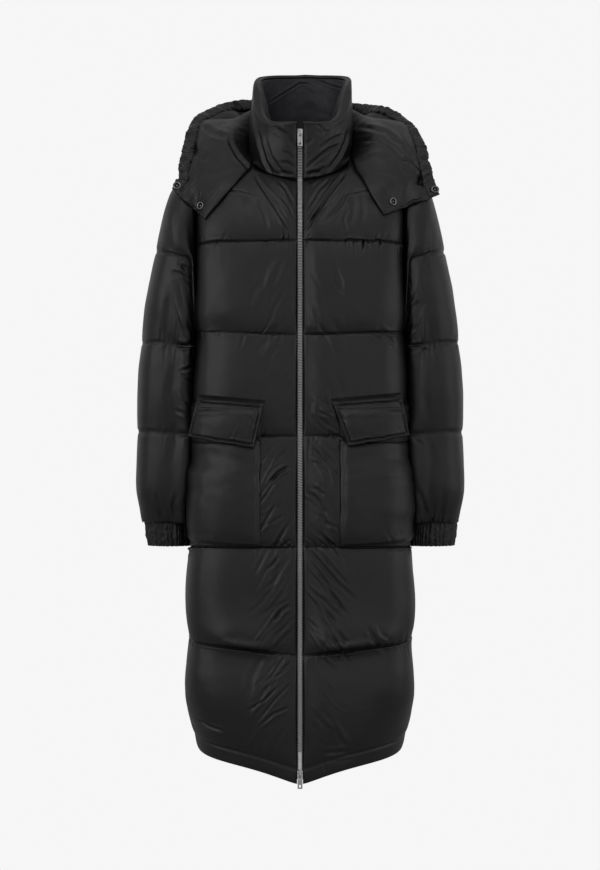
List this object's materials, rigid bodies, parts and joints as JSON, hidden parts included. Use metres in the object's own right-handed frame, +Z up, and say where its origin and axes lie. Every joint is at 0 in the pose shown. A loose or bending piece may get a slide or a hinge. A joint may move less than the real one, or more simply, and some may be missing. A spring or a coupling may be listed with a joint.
{
  "type": "long puffer coat",
  "caption": "Long hooded puffer coat, filled out with no wearer, with a stand collar, flap pockets, elastic cuffs and a two-way front zip.",
  "frame": {"origin": "centre of the neck seam, where the wearer's neck and shoulders hold the coat", "axes": "+Z up, the coat's front faces -Y, its left side as worn is at +X"},
  "size_m": [0.5572, 0.3551, 1.1986],
  "materials": {
    "shell_nylon": "black nylon with a soft sheen",
    "collar_lining": "smooth blue-black lining",
    "cuff_nylon": "black nylon gathered on elastic",
    "zip_tape": "matt black woven tape",
    "zip_metal": "worn nickel",
    "snap_metal": "gunmetal"
  },
  "bodies": {
    "coat": {"front_left": "shell_nylon", "front_right": "shell_nylon", "back": "shell_nylon", "sleeve_left": "shell_nylon", "sleeve_right": "shell_nylon", "cuff_left": "cuff_nylon", "cuff_right": "cuff_nylon", "collar": "shell_nylon", "collar_lining": "collar_lining", "hood_left": "shell_nylon", "hood_centre": "shell_nylon", "hood_right": "shell_nylon", "hood_casing": "shell_nylon", "pocket_left": "shell_nylon", "pocket_right": "shell_nylon", "pocket_flap_left": "shell_nylon", "pocket_flap_right": "shell_nylon", "zip_tape_left": "zip_tape", "zip_tape_right": "zip_tape", "zip_chain": "zip_metal", "zip_slider_top": "zip_metal", "zip_slider_bottom": "zip_metal", "snap_left_inner": "snap_metal", "snap_left_outer": "snap_metal", "snap_right_inner": "snap_metal", "snap_right_outer": "snap_metal"},
    "top_pull": {"zip_pull_top": "zip_metal"},
    "bottom_pull": {"zip_pull_bottom": "zip_metal"}
  },
  "joints": [
    {"name": "top_pull_swing", "type": "hinge", "parent": "coat", "child": "top_pull", "pos_m": [0, -0.08755, 0.03314], "axis": [-1, 0, 0], "range_deg": [0, 165]},
    {"name": "bottom_pull_swing", "type": "hinge", "parent": "coat", "child": "bottom_pull", "pos_m": [0, -0.16335, -1.02795], "axis": [-1, 0, 0], "range_deg": [0, 165]}
  ]
}
